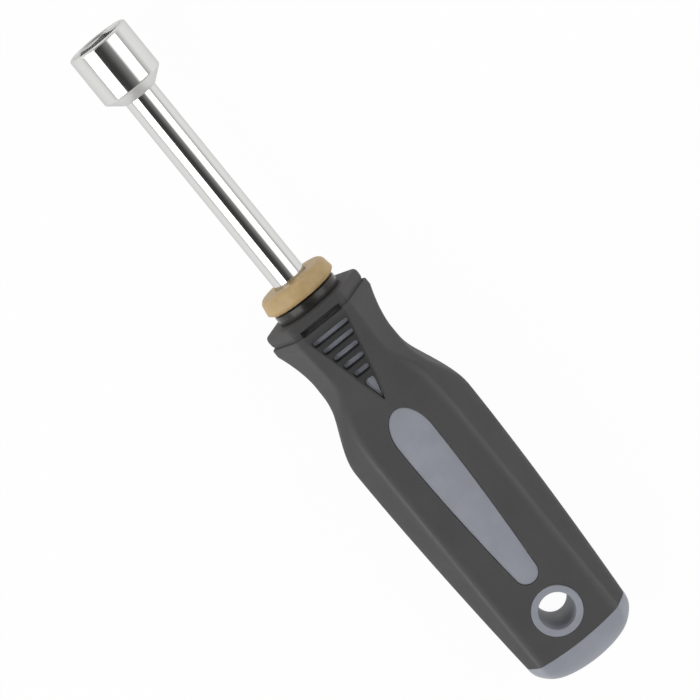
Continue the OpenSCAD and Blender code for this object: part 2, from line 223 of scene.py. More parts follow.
class HandleSizes(bpy.types.PropertyGroup):
    """Sizes of the handle that the boxes of its solids don't give."""

    bolster_shoulder: length("Bolster shoulder", "Length of the bolster's rounded shoulder", 1.1)
    bolster_drop: length("Shoulder drop", "Drop of the shoulder at the bolster's flat front", 0.6)
    bolster_flat: length("Bolster flat", "Half width of the bolster's front flat", 7.3)
    groove_w: length("Groove", "Width of the groove between bolster and grip", 1.05)
    groove_depth: length("Groove depth", "Depth of that groove", 0.35)
    notch_len: length("Notch", "Length of the deep slot in the bolster's flats", 10.9)
    notch_depth: length("Notch depth", "Depth of that slot", 2.3)
    notch_run: length("Notch run", "How far that slot runs on into the front of the grip", 0.35)
    notch_skin: length("Notch skin", "Thickness of grip that is left under that slot", 0.35)
    flange_len: length("Flange", "Length of the flange at the front of the grip", 1.9)
    hollow_len: length("Hollow", "Length from the flange to the waist", 10.4)
    waist_len: length("Waist", "Length of the waist", 2.9)
    rise_len: length("Rise", "Length from the waist to the belly", 18.4)
    facet_lead: length("Facet lead", "Distance in front of the belly where the flat is at its widest", 9.1)
    taper_len: length("Taper", "Length behind the belly over which the handle narrows", 58.4)
    cap_side_len: length("Cap side", "Length of the end cap's straight side", 0.75)
    flange_wide: length("Flange width", "Half width at the flange", 13.15)
    waist_wide: length("Waist width", "Half width at the waist", 10.85)
    waist_thick: length("Waist thickness", "Half thickness at the waist", 9.5)
    belly_thick: length("Belly thickness", "Half thickness at the belly", 12.3)
    tail_thick: length("Tail thickness", "Half thickness at the end cap", 9.6)
    flange_flat: length("Flange flat", "Half width of the front flat at the flange", 7.5)
    waist_flat: length("Waist flat", "Half width of the front flat at the waist", 7.1)
    belly_flat: length("Belly flat", "Half width of the front flat at the belly", 11.1)
    tail_flat: length("Tail flat", "Half width of the front flat at the end cap", 11)
    facet_lean: tilt("Facet lean", "Lean of the side facets", 25)
    panel_lean: tilt("Panel lean", "Fall of the face beside the panel that the slots lie on", 8)
    grip_wall: length("Grip wall", "Thickness of the soft grip over the core", 1.8)
    edge: length("Edge", "Rounding of the grip's front edge", 0.35)
    lip: length("Lip", "Rounding round the slots and the pocket", 0.22)
    seam_edge: length("Seam edge", "Rounding where hard and soft pieces meet", 0.08)
    overrun: length("Overrun", "How far cutters run past the faces that they cut", 0.35)
    spigot: length("Cap spigot", "Diameter of the core's spigot in the end cap", 12)


class FaceSizes(bpy.types.PropertyGroup):
    """Sizes of the slots, the pocket, the windows and the hang hole."""

    slot_inset: length("First slot", "Distance from the flange to the middle of the first slot", 1.3)
    slot_pitch: length("Slot pitch", "Distance between slots", 2.82)
    slot_w: length("Slot width", "Width of a slot along the tool", 1.5)
    slot_len: length("Slot length", "Length of the slot next to the flange", 10)
    slot_step: length("Slot step", "Each slot is shorter than the last by this much", 1.45)
    slot_draft: length("Slot draft", "How much a slot's walls close in towards its floor", 0.28)
    panel_margin: length("Panel margin", "How much wider than the first slot the slots' panel is", 0.35)
    pocket_lead: length("Pocket lead", "How far the pocket starts before the place of one more slot", 0.6)
    pocket_len: length("Pocket length", "Length of the pointed pocket behind the slots", 5.75)
    pocket_w: length("Pocket width", "Width of the pointed pocket", 2.6)
    pocket_round: length("Pocket rounding", "Radius of the pocket's front corners", 0.9)
    pocket_tip: length("Pocket tip", "Radius of the pocket's tip", 0.15)
    pocket_deep: length("Pocket depth", "Depth of the pocket down to the core's pad", 0.95)
    window_nose: length("Window nose", "Length of the window's rounded front end", 7.5)
    window_end: length("Window end", "Width of the window where its round end starts", 5.9)
    window_gap: length("Window gap", "Fine gap round the window", 0.07)
    window_crown: length("Window crown", "How far the window's edge lies below its middle", 0.22)
    hang_hole: length("Hang hole", "Diameter of the hang hole", 7.4)
    hang_mouth: length("Hang mouth", "Diameter of the hang hole at the front", 8.6)
    hang_land: length("Hang land", "Length of the hang hole that is straight", 9)


class Colours(bpy.types.PropertyGroup):
    """Colours and roughness of the finishes, and the levels of the studio's light."""

    chrome: tint("Chrome", "Polished plate on the socket and the shaft", 0.71, 0.71, 0.7)
    ring: tint("Ring", "Moulded plastic of the size ring", 0.515, 0.36, 0.17)
    neck: tint("Neck", "Glossy plastic of the neck", 0.026, 0.024, 0.022)
    grip: tint("Grip", "Soft rubber of the grip and the bolster", 0.072, 0.07, 0.071)
    hard: tint("Hard plastic", "Moulded plastic of the core, windows, bush and end cap", 0.303, 0.317, 0.36)
    floor: tint("Floor", "Pale floor", 0.93, 0.93, 0.93)
    chrome_rough: level("Chrome roughness", "Roughness of the clean plate", 0.045)
    ring_rough: level("Ring roughness", "Roughness of the size ring", 0.42)
    neck_rough: level("Neck roughness", "Roughness of the neck", 0.22)
    grip_rough: level("Grip roughness", "Roughness of the soft rubber", 0.62)
    hard_rough: level("Hard roughness", "Roughness of the hard plastic", 0.44)
    right_light: level("Right light box", "Brightness of the long light box on the right", 2.2)
    left_light: level("Left light box", "Brightness of the long light box on the left", 3)
    top_light: level("Overhead", "Brightness overhead, between the light boxes", 0.055)
    side_light: level("Surround", "Brightness of the pale surround", 0.95)


class DriverSettings(bpy.types.PropertyGroup):
    """All settings of the nut driver."""

    steel: PointerProperty(type=SteelSizes)
    handle: PointerProperty(type=HandleSizes)
    face: PointerProperty(type=FaceSizes)
    colours: PointerProperty(type=Colours)


def mix(near, far, part):
    """The value part of the way from near to far."""
    return near + (far - near) * part


def part_way(value, near, far):
    """How far a value lies between two others, from 0 to 1."""
    return min(1, max(0, (value - near) / (far - near)))


def smooth(part):
    """An even ease from 0 to 1."""
    return part * part * (3 - 2 * part)


def spread(near, far, count):
    """Evenly spaced places after near, up to far."""
    return [mix(near, far, (i + 1) / count) for i in range(count)]


def ease(part):
    """A slow start and a slow stop, as half a wave."""
    return (1 - math.cos(math.pi * part)) / 2


class Section:
    """A slice across the handle: flat faces and slanted side facets, blended where they meet."""

    def __init__(self, wide, thick, flat, lean, inset=0, power=BLEND_POWER):
        self.wide = wide - inset
        self.thick = thick - inset
        flat = flat - inset * (1 - math.sin(lean)) / math.cos(lean)
        self.cos_lean = math.cos(lean)
        self.sin_lean = math.sin(lean)
        self.reach = flat * self.cos_lean + self.thick * self.sin_lean
        self.ridge = math.atan2(self.thick, flat)
        self.power = power
        self.wide_fit = self.wide / self.radius(0)
        self.thick_fit = self.thick / self.radius(RIGHT_ANGLE)

    def pull(self, y, z):
        """Under 1 inside the outline and over 1 outside it."""
        across = y * self.cos_lean
        up = z * self.sin_lean
        facets = (
            y / self.wide,
            z / self.thick,
            (across + up) / self.reach,
            (across - up) / self.reach,
        )
        return sum(abs(share) ** self.power for share in facets)

    def radius(self, angle):
        """Distance from the axis to the outline, before it is fitted to its width and thickness."""
        return self.pull(math.cos(angle), math.sin(angle)) ** (-1 / self.power)

    def point(self, angle):
        """The outline's point at an angle about the axis."""
        radius = self.radius(angle)
        return radius * math.cos(angle) * self.wide_fit, radius * math.sin(angle) * self.thick_fit

    def height(self, y):
        """Height of the front face at a place across it."""
        low, high = 0, self.thick
        for _ in range(HEIGHT_STEPS):
            middle = (low + high) / 2
            if self.pull(y / self.wide_fit, middle / self.thick_fit) < 1:
                low = middle
            else:
                high = middle
        return low

    def angles(self):
        """Angles of the points round the outline, closest together at its ridges."""
        side = [self.ridge * ease(i / SIDE_STEPS) for i in range(SIDE_STEPS)]
        shares = [1 - math.cos(RIGHT_ANGLE * i / FACE_STEPS) for i in range(FACE_STEPS)]
        face = [mix(self.ridge, RIGHT_ANGLE, share) for share in shares]
        quarter = side + face
        mirrored = [math.pi - angle for angle in reversed(quarter[1:])]
        half = quarter + [RIGHT_ANGLE] + mirrored
        return half + [angle + math.pi for angle in half]


class Handle:
    """Form of the handle, from the settings and from the boxes of its solids."""

    def __init__(self, settings):
        sizes = settings.handle
        face = settings.face
        low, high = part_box("grip")
        cap_low, cap_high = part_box("end_cap")
        bush_low, bush_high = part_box("hang_bush")
        window_low, window_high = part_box("front_window")
        shaft_low, shaft_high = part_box("shaft")
        self.axis = (shaft_low.z + shaft_high.z) / 2
        self.shaft_r = (shaft_high.z - shaft_low.z) / 2
        self.lean = sizes.facet_lean
        self.front = low.x
        self.flange = self.front + sizes.flange_len
        self.waist = self.flange + sizes.hollow_len
        self.rise = self.waist + sizes.waist_len
        self.belly = self.rise + sizes.rise_len
        self.facet = self.belly - sizes.facet_lead
        self.taper_end = self.belly + sizes.taper_len
        self.seam = cap_low.x
        self.bow = high.x - cap_low.x
        self.dome = self.seam + sizes.cap_side_len
        self.end = cap_high.x
        self.wides = (sizes.flange_wide, sizes.waist_wide, (high.y - low.y) / 2, (cap_high.y - cap_low.y) / 2)
        self.thicks = ((high.z - low.z) / 2, sizes.waist_thick, sizes.belly_thick, sizes.tail_thick)
        self.flats = (sizes.flange_flat, sizes.waist_flat, sizes.belly_flat, sizes.tail_flat)
        self.seam_radius = (self.wides[-1] ** 2 + self.bow ** 2) / (2 * self.bow)
        self.panel_fall = math.tan(sizes.panel_lean)
        self.slot_x = self.flange + face.slot_inset
        self.panel_half = (face.slot_len + face.panel_margin) / 2
        self.panel_tip = face.pocket_w * PANEL_TIP_SHARE
        self.pocket_x = self.slot_x + SLOT_COUNT * face.slot_pitch - face.pocket_lead
        self.pocket_end = self.pocket_x + face.pocket_len
        self.hang_x = (bush_low.x + bush_high.x) / 2
        self.bush_r = (bush_high.x - bush_low.x) / 2
        self.window_x = window_low.x
        self.window_len = window_high.x - window_low.x
        self.window_half = (window_high.y - window_low.y) / 2

    def swell(self, x, values):
        """One of the handle's sizes at a place along it."""
        flange, waist, belly, tail = values
        if x <= self.waist:
            return mix(waist, flange, (1 - part_way(x, self.flange, self.waist)) ** HOLLOW_POWER)
        if x <= self.belly:
            rise = part_way(x, self.rise, self.belly)
            return mix(waist, belly, ease(rise))
        return mix(belly, tail, part_way(x, self.belly, self.taper_end) ** TAPER_POWER)

    def flat(self, x):
        """Half width of the front flat, which widens sooner than the handle does."""
        waist, belly = self.flats[1:3]
        if self.waist < x < self.belly:
            rise = part_way(x, self.waist, self.facet)
            return mix(waist, belly, ease(rise))
        return self.swell(x, self.flats)

    def section(self, x, inset=0):
        """The slice at a place along the handle, drawn in and rounded off at the end cap."""
        part = part_way(x, self.dome, self.end)
        size = (1 - part ** DOME_POWER) ** (1 / DOME_POWER)
        power = BLEND_POWER * (DOME_POWER / BLEND_POWER) ** part
        wide = self.swell(x, self.wides) * size
        thick = self.swell(x, self.thicks) * size
        return Section(wide, thick, self.flat(x) * size, self.lean, inset, power)

    def panel_edge(self, x):
        """Half width of the panel that the slots lie on."""
        return mix(self.panel_half, self.panel_tip, part_way(x, self.slot_x, self.pocket_end))

    def fall(self, x, y):
        """How far the face falls away beside the panel that the slots lie on."""
        beside = abs(y) - self.panel_edge(x)
        onset = smooth(part_way(x, self.flange, self.slot_x))
        fade = 1 - smooth(part_way(x, self.pocket_x, self.belly))
        return self.panel_fall * onset * fade * (beside + math.hypot(beside, PANEL_SOFT)) / 2

    def height(self, x, y):
        """Height of the front face over the axis."""
        return self.section(x).height(y) - self.fall(x, y)

    def seam_drop(self, y):
        """How far the joint with the end cap lies in front of its rearmost point."""
        return self.seam_radius - math.sqrt(self.seam_radius ** 2 - y * y)

    def ring(self, x, inset=0, bow=0):
        """A ring of points round the handle, bowed by a share of the end joint's own bow."""
        here = self.section(x, inset)
        ring = []
        for angle in here.angles():
            place = x
            section = here
            if bow:
                place = x - bow * self.seam_drop(here.point(angle)[0])
                section = self.section(place, inset)
            y, z = section.point(angle)
            drop = 0 if inset else self.fall(place, y) * z / section.thick
            ring.append((place, y, self.axis + z - drop))
        return ring

    def circle(self, x, radius, bow=0):
        """A round ring about the axis, with as many points as the others."""
        ring = []
        for angle in self.section(self.belly).angles():
            y = radius * math.cos(angle)
            ring.append((x - bow * self.seam_drop(y), y, self.axis + radius * math.sin(angle)))
        return ring

    def wear_and_sheen(self, spot):
        """How much handling has polished a point of the grip, and how much its finish paints it paler there
        as a highlight: most along the ridges.
        """
        section = self.section(spot.x)
        angle = math.atan2(abs(spot.z - self.axis), abs(spot.y))
        away = abs(angle - section.ridge) * section.thick
        return math.exp(-(away / WEAR_SHEEN_REACH) ** 2)


def soften(corners):
    """Rounds each corner (x, y, back) of a line, from that far before it to as far behind it."""
    points = []
    for i, (x, y, back) in enumerate(corners):
        here = Vector((x, y))
        if not back:
            points.append(here)
            continue
        before = Vector(corners[i - 1][:2])
        after = Vector(corners[(i + 1) % len(corners)][:2])
        start = here + (before - here).normalized() * back
        stop = here + (after - here).normalized() * back
        for k in range(CORNER_STEPS + 1):
            part = k / CORNER_STEPS
            points.append(start.lerp(here, part).lerp(here.lerp(stop, part), part))
    return points


def turned(profile, axis, angles):
    """Rings about the tool's axis through a profile of (x, radius) points."""
    return [
        [(x, radius * math.cos(angle), axis + radius * math.sin(angle)) for angle in angles]
        for x, radius in profile
    ]


def round_angles():
    """Evenly spaced angles for a turned piece."""
    return [FULL_TURN * i / ROUND_STEPS for i in range(ROUND_STEPS)]


def skin(form, rings, wrap=False):
    """Adds the faces between neighbouring rings to a form, and between the last and the first to wrap it."""
    rows = [[form.verts.new(point) for point in ring] for ring in rings]
    pairs = list(zip(rows, rows[1:]))
    if wrap:
        pairs.append((rows[-1], rows[0]))
    for near, far in pairs:
        for j, vertex in enumerate(near):
            k = (j + 1) % len(near)
            form.faces.new((vertex, near[k], far[k], far[j]))


def settle(form, name):
    """Turns a form into an object with clean faces and smooth shading."""
    bmesh.ops.remove_doubles(form, verts=form.verts, dist=WELD)
    bmesh.ops.dissolve_degenerate(form, dist=WELD, edges=form.edges)
    bmesh.ops.recalc_face_normals(form, faces=form.faces)
    mesh = bpy.data.meshes.new(name)
    form.to_mesh(mesh)
    form.free()
    mesh.shade_smooth()
    mesh.set_sharp_from_angle(angle=SHARP_ANGLE)
    piece = bpy.data.objects.new(name, mesh)
    bpy.context.scene.collection.objects.link(piece)
    return piece


def refinish(piece, finish):
    """Gives a piece its finish."""
    piece.data.materials.clear()
    piece.data.materials.append(finish)


def present(piece, finish, slot, body, *nodes):
    """Gives a new piece its finish and its body, and hides the solids that it stands for. The slot is not
    used.
    """
    refinish(piece, finish)
    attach(piece, body)
    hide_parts(*nodes)


def mark(piece, name, amount):
    """Stores a value for each point of a piece, for its finish to read."""
    values = piece.data.attributes.new(name, "FLOAT", "POINT")
    for value, vertex in zip(values.data, piece.data.vertices):
        value.value = amount(vertex.co)


def cut(piece, cutter):
    """Cuts one object out of another, removes the cutter and evens the shading."""
    modifier = piece.modifiers.new("cut", "BOOLEAN")
    modifier.operation = "DIFFERENCE"
    modifier.solver = "MANIFOLD"
    modifier.object = cutter
    bpy.context.view_layer.update()
    evaluated = piece.evaluated_get(bpy.context.evaluated_depsgraph_get())
    mesh = bpy.data.meshes.new_from_object(evaluated)
    piece.modifiers.remove(modifier)
    piece.data = mesh
    bpy.data.objects.remove(cutter)
    mesh.shade_smooth()
    mesh.set_sharp_from_angle(angle=SHARP_ANGLE)
    weighted = piece.modifiers.new("weighted", "WEIGHTED_NORMAL")
    weighted.keep_sharp = True


def hull_outline(circles, grow):
    """Points of a tight loop round circles (x, y, radius), given in turn, each grown alike."""
    points = []
    count = len(circles)
    for i, (x, y, radius) in enumerate(circles):
        turns = []
        for near, far in ((circles[i - 1], circles[i]), (circles[i], circles[(i + 1) % count])):
            run = math.hypot(far[0] - near[0], far[1] - near[1])
            heading = math.atan2(far[1] - near[1], far[0] - near[0])
            turns.append(heading - RIGHT_ANGLE + math.asin((near[2] - far[2]) / run))
        start, stop = turns
        if stop < start:
            stop += FULL_TURN
        size = radius + grow
        for k in range(ARC_STEPS + 1):
            angle = mix(start, stop, k / ARC_STEPS)
            points.append(Vector((x + size * math.cos(angle), y + size * math.sin(angle))))
    return points


def slot_shape(face, handle, i):
    """Loop and spine of a finger slot, each shorter than the one before it."""
    x = handle.slot_x + i * face.slot_pitch
    radius = face.slot_w / 2
    reach = (face.slot_len - i * face.slot_step - face.slot_w) / 2
    ends = [(x, -reach, radius), (x, reach, radius)]
    spine = (Vector((x, -reach)), Vector((x, reach)))
    return partial(hull_outline, ends), spine


def notch_shape(sizes, near, far):
    """Loop and spine of the deep slot across the joint of bolster and grip, between two places."""
    fine = sizes.groove_depth / 2
    half = sizes.notch_len / 2 - fine
    corners = [
        (near + fine, -half, fine),
        (far - fine, -half, fine),
        (far - fine, half, fine),
        (near + fine, half, fine),
    ]
    middle = (near + far) / 2
    spine = (Vector((middle, -half)), Vector((middle, half)))
    return partial(hull_outline, corners), spine


def pocket_shape(face, handle):
    """Loop and spine of the pointed pocket, from circles at its tip and its two front corners."""
    reach = face.pocket_w / 2 - face.pocket_round
    front = handle.pocket_x + face.pocket_round
    tip = handle.pocket_end - face.pocket_tip
    corners = [
        (tip, 0, face.pocket_tip),
        (front, reach, face.pocket_round),
        (front, -reach, face.pocket_round),
    ]
    spine = (Vector((front, 0)), Vector((tip, 0)))
    return partial(hull_outline, corners), spine


def pocket_draft(face):
    """How much the pocket's walls close in, which its fine tip limits."""
    return min(face.slot_draft, face.pocket_tip) - WELD


def window_outline(face, handle, grow):
    """Loop round the window: a long round nose, sides that draw in and a round end."""
    nose = face.window_nose
    end = face.window_end / 2
    run = handle.window_len - nose - end
    half = []
    for i in range(WINDOW_STEPS):
        angle = RIGHT_ANGLE * i / WINDOW_STEPS
        half.append((nose * (1 - math.cos(angle)), handle.window_half * math.sin(angle)))
    for i in range(WINDOW_STEPS):
        part = i / WINDOW_STEPS
        half.append((nose + run * part, mix(handle.window_half, end, part ** WINDOW_POWER)))
    for i in range(WINDOW_STEPS + 1):
        angle = RIGHT_ANGLE * i / WINDOW_STEPS
        half.append((nose + run + end * math.sin(angle), end * math.cos(angle)))
    loop = [Vector((x, -y)) for x, y in half] + [Vector((x, y)) for x, y in reversed(half[1:-1])]
    grown = []
    for i, point in enumerate(loop):
        heading = (loop[(i + 1) % len(loop)] - loop[i - 1]).normalized()
        outward = Vector((heading.y, -heading.x))
        grown.append(Vector((handle.window_x, 0)) + point + outward * grow)
    return grown


def window_shape(face, handle):
    """Loop and spine of the window."""
    nose = handle.window_x + face.window_nose
    end = handle.window_x + handle.window_len - face.window_end / 2
    spine = (Vector((nose, 0)), Vector((end, 0)))
    return partial(window_outline, face, handle), spine


def nearest(spine, point):
    """The point of a straight spine that lies nearest to a point."""
    start, stop = spine
    run = stop - start
    return start + run * part_way((point - start).dot(run), 0, run.length_squared)


def plug(form, surface, axis, shape, levels, side):
    """Adds a closed plug that follows a face. A level has a growth, a depth and a draw to the spine."""
    outline, spine = shape
    rings = []
    for grow, depth, draw in levels:
        ring = []
        for point in outline(grow):
            x, y = point.lerp(nearest(spine, point), draw)
            ring.append((x, y, axis + side * (surface(x, y) - depth)))
        rings.append(ring)
    skin(form, rings)


def lip_levels(lip, depth, above, draft=0):
    """Levels of a cutter from over the face, round a rounded lip and down a drafted wall."""
    flare = lip * LIP_FLARE_SHARE
    levels = [(flare, -above, 1), (flare, -above, 0), (flare, -lip * LIP_BRIM_SHARE, 0)]
    for degrees in LIP_ANGLES:
        angle = math.radians(degrees)
        levels.append((lip * (1 - math.cos(angle)), lip * (1 - math.sin(angle)), 0))
    levels += [(-draft, depth, 0), (-draft, depth, 1)]
    return levels


def shade(colour, factor):
    """A colour made lighter or darker."""
    red, green, blue, alpha = colour
    return red * factor, green * factor, blue * factor, alpha


class Wire:
    """A number that changes over a surface. Sums and products of wires add Math nodes."""

    def __init__(self, weave, socket):
        self.weave = weave
        self.socket = socket

    def calc(self, operation, *values):
        """Joins values in a Math node."""
        return self.weave.add("ShaderNodeMath", {"operation": operation}, dict(enumerate(values)))

    def other(self, output):
        """Another output of the same node."""
        return Wire(self.weave, self.socket.node.outputs[output])

    def __add__(self, value):
        return self.calc("ADD", self, value)

    def __radd__(self, value):
        return self.calc("ADD", value, self)

    def __sub__(self, value):
        return self.calc("SUBTRACT", self, value)

    def __rsub__(self, value):
        return self.calc("SUBTRACT", value, self)

    def __mul__(self, value):
        return self.calc("MULTIPLY", self, value)

    def __rmul__(self, value):
        return self.calc("MULTIPLY", value, self)

    def __abs__(self):
        return self.calc("ABSOLUTE", self)

    def at_least(self, value):
        """The greater of two values."""
        return self.calc("MAXIMUM", self, value)


class Weave:
    """A node tree that is written as expressions."""

    def __init__(self, tree):
        self.tree = tree
        tree.nodes.clear()

    def add(self, kind, settings=None, sockets=None, out=0):
        """Adds a node with its settings, then the values or links of its sockets, and gives one output."""
        node = self.tree.nodes.new(kind)
        for name, value in (settings or {}).items():
            setattr(node, name, value)
        for name, value in (sockets or {}).items():
            if isinstance(value, Wire):
                self.tree.links.new(value.socket, node.inputs[name])
            else:
                node.inputs[name].default_value = value
        return Wire(self, node.outputs[out] if node.outputs else None)

    def place(self):
        """Position in the tool's frame, in metres."""
        return self.add("ShaderNodeTexCoord", out="Object")

    def mark(self, name):
        """A value that is stored for each point of the mesh, or 0 where there is none."""
        return self.add("ShaderNodeAttribute", {"attribute_name": name}, out="Fac")

    def normal(self):
        """The way that a surface faces."""
        return self.add("ShaderNodeNewGeometry", out="Normal")

    def coordinate(self, vector, name):
        """One of the three numbers of a vector."""
        return self.add("ShaderNodeSeparateXYZ", sockets={"Vector": vector}, out=name)

    def noise(self, place, size, detail, roughness):
        """Soft noise whose features are about a size across, in millimetres."""
        sockets = {"Vector": place, "Scale": 1 / (size * MM), "Detail": detail, "Roughness": roughness}
        return self.add("ShaderNodeTexNoise", sockets=sockets)

    def ramp(self, value, start, stop, low=0.0, high=1.0):
        """An ease from low to high while a value goes from start to stop."""
        sockets = {"Value": value, "From Min": start, "From Max": stop, "To Min": low, "To Max": high}
        return self.add("ShaderNodeMapRange", {"interpolation_type": "SMOOTHSTEP"}, sockets)

    def blend(self, factor, first, second):
        """A mix of two colours."""
        sockets = {"Factor": factor, MIX_FIRST: first, MIX_SECOND: second}
        return self.add("ShaderNodeMix", {"data_type": "RGBA"}, sockets, MIX_RESULT)

    def vary(self, factor, colour, darkest, lightest):
        """A colour between two of its shades."""
        return self.blend(factor, shade(colour, darkest), shade(colour, lightest))

    def bump(self, height, depth, strength):
        """A normal from a height whose depth is in millimetres."""
        sockets = {"Height": height, "Distance": depth * MM, "Strength": strength}
        return self.add("ShaderNodeBump", sockets=sockets, out="Normal")

    def surface(self, **sockets):
        """The finished shader, with spaces in its socket names written as low lines."""
        named = {name.replace("_", " "): value for name, value in sockets.items()}
        shader = self.add("ShaderNodeBsdfPrincipled", sockets=named)
        self.add("ShaderNodeOutputMaterial", sockets={"Surface": shader})


def new_finish(name):
    """A material with an empty tree, or the one made before and no tree."""
    material = bpy.data.materials.get(FINISH + name)
    if material:
        return material, None
    material = bpy.data.materials.new(FINISH + name)
    material.use_nodes = True
    return material, Weave(material.node_tree)


def chrome_finish(colours):
    """Polished chrome with turning marks and faint smears, satin on end faces and inside the hex."""
    material, weave = new_finish("polished_chrome")
    if weave:
        place = weave.place()
        squeeze = {0: place, 1: TURNING_SQUEEZE}
        squeezed = weave.add("ShaderNodeVectorMath", {"operation": "MULTIPLY"}, squeeze)
        turning = weave.noise(squeezed, size=0.22, detail=3, roughness=0.7)
        smears = weave.noise(place, size=7, detail=4, roughness=0.6)
        smeared = weave.ramp(smears, start=0.35, stop=0.75)
        ends = weave.ramp(abs(weave.coordinate(weave.normal(), "X")), start=0.05, stop=0.4)
        satin = ends.at_least(0.6 * weave.mark("satin"))
        weave.surface(
            Base_Color=weave.vary(smears, colours.chrome, darkest=0.97, lightest=1.03),
            Metallic=1.0,
            Roughness=colours.chrome_rough + 0.05 * smeared + 0.025 * turning + 0.3 * satin,
            Specular_Tint=CHROME_RIM,
            Normal=weave.bump(turning, depth=0.002, strength=0.25),
        )
    return material


def ring_finish(colours):
    """Satin tan plastic with faint clouding, a moulded grain and a back slope painted paler, as light against
    its shade and as a worn edge.
    """
    material, weave = new_finish("tan_plastic")
    if weave:
        place = weave.place()
        clouds = weave.noise(place, size=2.2, detail=4, roughness=0.6)
        grain = weave.noise(place, size=0.12, detail=2, roughness=0.5)
        tone = weave.ramp(clouds, start=0.3, stop=0.7)
        plain = weave.vary(tone, colours.ring, darkest=0.93, lightest=1.06)
        weave.surface(
            Base_Color=weave.blend(weave.mark("wear_and_sheen"), plain, shade(colours.ring, RING_BACK_PAINTED_LIGHT)),
            Roughness=colours.ring_rough + 0.14 * clouds,
            Normal=weave.bump(grain, depth=0.012, strength=0.35),
        )
    return material


def neck_finish(colours):
    """Glossy black plastic with faint rubbing, rougher at its root and painted darker there as the shade in
    front of the bolster.
    """
    material, weave = new_finish("gloss_black_plastic")
    if weave:
        rubbing = weave.noise(weave.place(), size=1.4, detail=4, roughness=0.65)
        rubbed = weave.ramp(rubbing, start=0.4, stop=0.75)
        # Painted shade at the neck's root, in front of the bolster, which is also made rougher
        painted_shade = weave.mark("satin")
        plain = weave.vary(rubbing, colours.neck, darkest=0.8, lightest=1.4)
        weave.surface(
            Base_Color=weave.blend(painted_shade, plain, shade(colours.neck, NECK_ROOT_PAINTED_SHADE)),
            Roughness=colours.neck_rough + 0.12 * rubbed + 0.5 * painted_shade,
            Specular_IOR_Level=0.4,
            Normal=weave.bump(rubbing, depth=0.01, strength=0.2),
        )
    return material


def panel_mask(weave, place, handle):
    """1 on the panel that the slots lie on, and 0 beside it."""
    along = weave.coordinate(place, "X")
    across = along.other("Y")
    narrowing = (handle.panel_half - handle.panel_tip) / (handle.pocket_end - handle.slot_x)
    beside = abs(across) - handle.panel_half + narrowing * (along - handle.slot_x)
    inside = weave.ramp(beside, -PANEL_SOFT, PANEL_SOFT, low=1.0, high=0.0)
    onset = weave.ramp(along, handle.front, handle.slot_x, low=PANEL_ONSET)
    fade = weave.ramp(along, handle.pocket_x, handle.facet, low=1.0, high=0.0)
    return inside * onset * fade


def grip_finish(colours, handle):
    """Matt soft rubber with a fine grain, painted shade on the slots' panel and on the sides, and ridges
    polished by handling and painted paler as a highlight.
    """
    material, weave = new_finish("soft_rubber")
    if weave:
        place = weave.place()
        grain = weave.noise(place, size=0.16, detail=3, roughness=0.6)
        clouds = weave.noise(place, size=9, detail=4, roughness=0.55)
        specks = weave.noise(place, size=0.7, detail=3, roughness=0.7)
        tone = weave.ramp(0.65 * clouds + 0.35 * specks, start=0.3, stop=0.7)
        plain = weave.vary(tone, colours.grip, darkest=0.92, lightest=1.08)
        # Painted shade on the panel that the slots lie on
        panel = weave.blend(panel_mask(weave, place, handle), plain, shade(colours.grip, PANEL_PAINTED_SHADE))
        # Painted shade on the sides that face away from overhead, behind the pocket
        facing = abs(weave.coordinate(weave.normal(), "Z"))
        sides = weave.ramp(facing, start=0.5, stop=0.9, low=1.0, high=0.0)
        belly = weave.ramp(weave.coordinate(place, "X"), handle.pocket_x, handle.facet)
        painted_shade = weave.blend(sides * belly, panel, shade(colours.grip, SIDE_PAINTED_SHADE))
        wear_and_sheen = weave.mark("wear_and_sheen")
        weave.surface(
            # Painted highlight along the polished ridges
            Base_Color=weave.blend(0.8 * wear_and_sheen * belly, painted_shade, shade(colours.grip, RIDGE_PAINTED_SHEEN)),
            Roughness=colours.grip_rough + 0.1 * tone - 0.16 * wear_and_sheen,
            Specular_IOR_Level=0.34,
            Normal=weave.bump(grain, depth=0.02, strength=0.3),
        )
    return material


def hard_finish(colours):
    """Satin grey plastic with faint flow clouding and a fine moulded grain."""
    material, weave = new_finish("grey_plastic")
    if weave:
        place = weave.place()
        clouds = weave.noise(place, size=5, detail=4, roughness=0.55)
        grain = weave.noise(place, size=0.14, detail=2, roughness=0.5)
        tone = weave.ramp(clouds, start=0.3, stop=0.7)
        weave.surface(
            Base_Color=weave.vary(tone, colours.hard, darkest=0.96, lightest=1.04),
            Roughness=colours.hard_rough + 0.12 * clouds,
            Specular_IOR_Level=0.45,
            Normal=weave.bump(grain, depth=0.012, strength=0.3),
        )
    return material


def seen_rays(weave):
    """1 for rays from the camera, in mirrors and through glass, and 0 for the rest."""
    camera = weave.add("ShaderNodeLightPath", out="Is Camera Ray")
    mirror = camera.other("Is Glossy Ray")
    return camera.at_least(mirror.at_least(camera.other("Is Transmission Ray")))


def floor_finish(colours):
    """Pale floor that looks white where it is seen or mirrored, and still takes a soft shadow."""
    material, weave = new_finish("pale_floor")
    if weave:
        mottling = weave.noise(weave.place(), size=40, detail=3, roughness=0.5)
        colour = weave.vary(mottling, colours.floor, darkest=0.985, lightest=1)
        matt = weave.add(
            "ShaderNodeBsdfPrincipled",
            sockets={"Base Color": colour, "Roughness": 1.0, "Specular IOR Level": 0.0},
        )
        white = weave.add("ShaderNodeEmission", sockets={"Strength": 1.0})
        mixed = {0: FLOOR_WHITE * seen_rays(weave), 1: matt, 2: white}
        shown = weave.add("ShaderNodeMixShader", sockets=mixed)
        weave.add("ShaderNodeOutputMaterial", sockets={"Surface": shown})
    return material


